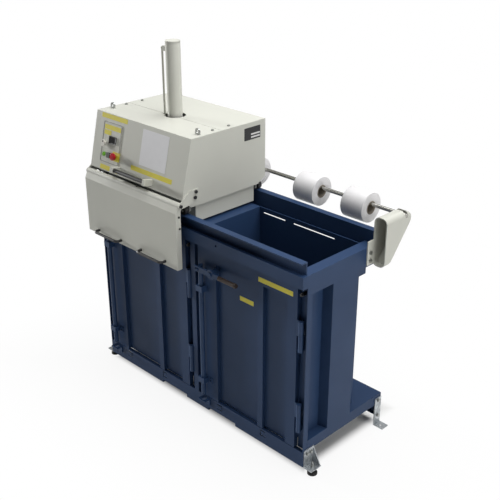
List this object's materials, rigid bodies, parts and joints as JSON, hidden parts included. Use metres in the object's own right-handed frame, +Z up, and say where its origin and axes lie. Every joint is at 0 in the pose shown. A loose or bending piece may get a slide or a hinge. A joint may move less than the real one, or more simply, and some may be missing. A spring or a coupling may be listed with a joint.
{
  "type": "waste compactor",
  "caption": "Waste compactor with side-by-side top-loaded chambers and doors, a press head with hydraulic cylinder that rolls along rails, a front flap and a rear strap-roll holder.",
  "frame": {"origin": "on the floor, midway between the two floor-fixing holes of the rear brackets", "axes": "+X to the right along the front, +Y to the rear, +Z up; the doors and the flap face -Y"},
  "size_m": [1.644, 0.814, 1.882],
  "materials": {
    "blue_paint": "semi-gloss powder coat",
    "grey_paint": "satin powder coat",
    "blue_fittings": "semi-gloss powder coat",
    "zinc": "galvanized",
    "bright_steel": "turned and polished",
    "frame_steel": "primer",
    "rubber": "matt",
    "black_plastic": "fine grained",
    "strap": "wound strap",
    "cast_metal": "motor paint",
    "box_paint": "powder coat",
    "green_plastic": "glossy",
    "red_plastic": "glossy",
    "white_plastic": "glossy",
    "brown_plastic": "matt"
  },
  "bodies": {
    "frame": {"deck": "blue_paint", "front_sill": "blue_paint", "rear_sill": "blue_paint", "side_skirts": "blue_paint", "end_walls": "blue_paint", "end_posts": "blue_paint", "centre_post": "blue_paint", "chamber_walls": "blue_paint", "cross_beams": "blue_paint", "beam_caps": "blue_paint", "front_beam": "blue_paint", "rear_beam": "blue_paint", "rails": "blue_paint", "foot_brackets": "zinc", "foot_pads": "rubber", "floor_brackets": "zinc", "frame_bolts": "zinc", "door_hardware": "blue_fittings", "door_switches": "brown_plastic", "left_door": "blue_paint", "left_door_fittings": "blue_fittings", "roll_brackets": "grey_paint", "roll_rod": "bright_steel"},
    "press_head": {"head_frame": "frame_steel", "front_cover": "grey_paint", "body_panels": "grey_paint", "top_panels": "grey_paint", "skirts": "grey_paint", "press_cylinder": "grey_paint", "oil_pipe": "grey_paint", "power_pack": "cast_metal", "electric_box": "box_paint", "head_fittings": "zinc", "flap_arms": "grey_paint", "control_panel": "grey_paint", "push_bar": "black_plastic", "bar_mounts": "grey_paint"},
    "ram": {"ram": "bright_steel"},
    "flap": {"flap": "grey_paint", "flap_handles": "black_plastic"},
    "right_door": {"right_door": "blue_paint", "right_door_fittings": "blue_fittings"},
    "right_latch_rod": {"right_latch_rod": "blue_fittings"},
    "right_latch_lever": {"right_latch_lever": "blue_fittings", "right_latch_grip": "brown_plastic"},
    "left_latch_rod": {"left_latch_rod": "blue_fittings"},
    "left_latch_lever": {"left_latch_lever": "blue_fittings", "left_latch_grip": "brown_plastic"},
    "start_button": {"start_button": "green_plastic"},
    "emergency_stop": {"emergency_stop": "red_plastic"},
    "turn_switch": {"turn_switch": "black_plastic"},
    "key_switch": {"key_switch": "white_plastic"},
    "strap_roll_1": {"strap_roll_1": "strap"},
    "strap_roll_2": {"strap_roll_2": "strap"},
    "strap_roll_3": {"strap_roll_3": "strap"},
    "strap_roll_4": {"strap_roll_4": "strap"},
    "roller_front_left": {"roller_front_left": "black_plastic"},
    "roller_front_right": {"roller_front_right": "black_plastic"},
    "roller_rear_left": {"roller_rear_left": "black_plastic"},
    "roller_rear_right": {"roller_rear_right": "black_plastic"}
  },
  "joints": [
    {"name": "head_travel", "type": "slide", "parent": "frame", "child": "press_head", "axis": [1, 0, 0], "range_m": [0, 0.735]},
    {"name": "ram_stroke", "type": "slide", "parent": "press_head", "child": "ram", "axis": [0, 0, -1], "range_m": [0, 0.56]},
    {"name": "flap_swing", "type": "hinge", "parent": "press_head", "child": "flap", "pos_m": [-0.3675, -0.65, 1.194], "axis": [-1, 0, 0], "range_deg": [0, 90]},
    {"name": "right_door_swing", "type": "hinge", "parent": "frame", "child": "right_door", "pos_m": [0.716, -0.578, 0.5], "axis": [0, 0, 1], "range_deg": [0, 120]},
    {"name": "right_latch_drop", "type": "slide", "parent": "right_door", "child": "right_latch_rod", "axis": [0, 0, -1], "range_m": [0, 0.046]},
    {"name": "right_latch_turn", "type": "hinge", "parent": "right_door", "child": "right_latch_lever", "pos_m": [0.165, -0.6165, 0.88], "axis": [0, -1, 0], "range_deg": [0, 27.3]},
    {"name": "left_latch_drop", "type": "slide", "parent": "frame", "child": "left_latch_rod", "axis": [0, 0, -1], "range_m": [0, 0.046]},
    {"name": "left_latch_turn", "type": "hinge", "parent": "frame", "child": "left_latch_lever", "pos_m": [-0.585, -0.6165, 0.88], "axis": [0, -1, 0], "range_deg": [0, 27.3]},
    {"name": "roller_front_left_spin", "type": "hinge", "parent": "press_head", "child": "roller_front_left", "pos_m": [-0.6995, -0.594, 1.1503], "axis": [0, 1, 0], "continuous": true},
    {"name": "roller_front_right_spin", "type": "hinge", "parent": "press_head", "child": "roller_front_right", "pos_m": [-0.0355, -0.594, 1.1503], "axis": [0, 1, 0], "continuous": true},
    {"name": "roller_rear_left_spin", "type": "hinge", "parent": "press_head", "child": "roller_rear_left", "pos_m": [-0.6995, -0.094, 1.1503], "axis": [0, 1, 0], "continuous": true},
    {"name": "roller_rear_right_spin", "type": "hinge", "parent": "press_head", "child": "roller_rear_right", "pos_m": [-0.0355, -0.094, 1.1503], "axis": [0, 1, 0], "continuous": true},
    {"name": "strap_roll_1_spin", "type": "hinge", "parent": "frame", "child": "strap_roll_1", "pos_m": [-0.5225, 0.022, 1.171], "axis": [1, 0, 0], "continuous": true},
    {"name": "strap_roll_2_spin", "type": "hinge", "parent": "frame", "child": "strap_roll_2", "pos_m": [-0.2125, 0.022, 1.171], "axis": [1, 0, 0], "continuous": true},
    {"name": "strap_roll_3_spin", "type": "hinge", "parent": "frame", "child": "strap_roll_3", "pos_m": [0.2125, 0.022, 1.171], "axis": [1, 0, 0], "continuous": true},
    {"name": "strap_roll_4_spin", "type": "hinge", "parent": "frame", "child": "strap_roll_4", "pos_m": [0.5225, 0.022, 1.171], "axis": [1, 0, 0], "continuous": true},
    {"name": "start_press", "type": "slide", "parent": "press_head", "child": "start_button", "axis": [0, 0.9725, -0.233], "range_m": [0, 0.003], "stiffness_N_per_m": 600},
    {"name": "stop_press", "type": "slide", "parent": "press_head", "child": "emergency_stop", "axis": [0, 0.9725, -0.233], "range_m": [0, 0.004], "stiffness_N_per_m": 1200},
    {"name": "turn_switch_turn", "type": "hinge", "parent": "press_head", "child": "turn_switch", "pos_m": [-0.5825, -0.62545, 1.30494], "axis": [0, -0.9725, 0.233], "range_deg": [-45, 45]},
    {"name": "key_turn", "type": "hinge", "parent": "press_head", "child": "key_switch", "pos_m": [-0.6375, -0.61287, 1.35745], "axis": [0, -0.9725, 0.233], "range_deg": [0, 90]}
  ],
  "couplings": [
    {"joint": "right_latch_turn", "follows": "right_latch_drop", "rad_per_m": 10.272},
    {"joint": "left_latch_turn", "follows": "left_latch_drop", "rad_per_m": 10.272},
    {"joint": "roller_front_left_spin", "follows": "head_travel", "rad_per_m": 45.455},
    {"joint": "roller_front_right_spin", "follows": "head_travel", "rad_per_m": 45.455},
    {"joint": "roller_rear_left_spin", "follows": "head_travel", "rad_per_m": 45.455},
    {"joint": "roller_rear_right_spin", "follows": "head_travel", "rad_per_m": 45.455}
  ]
}
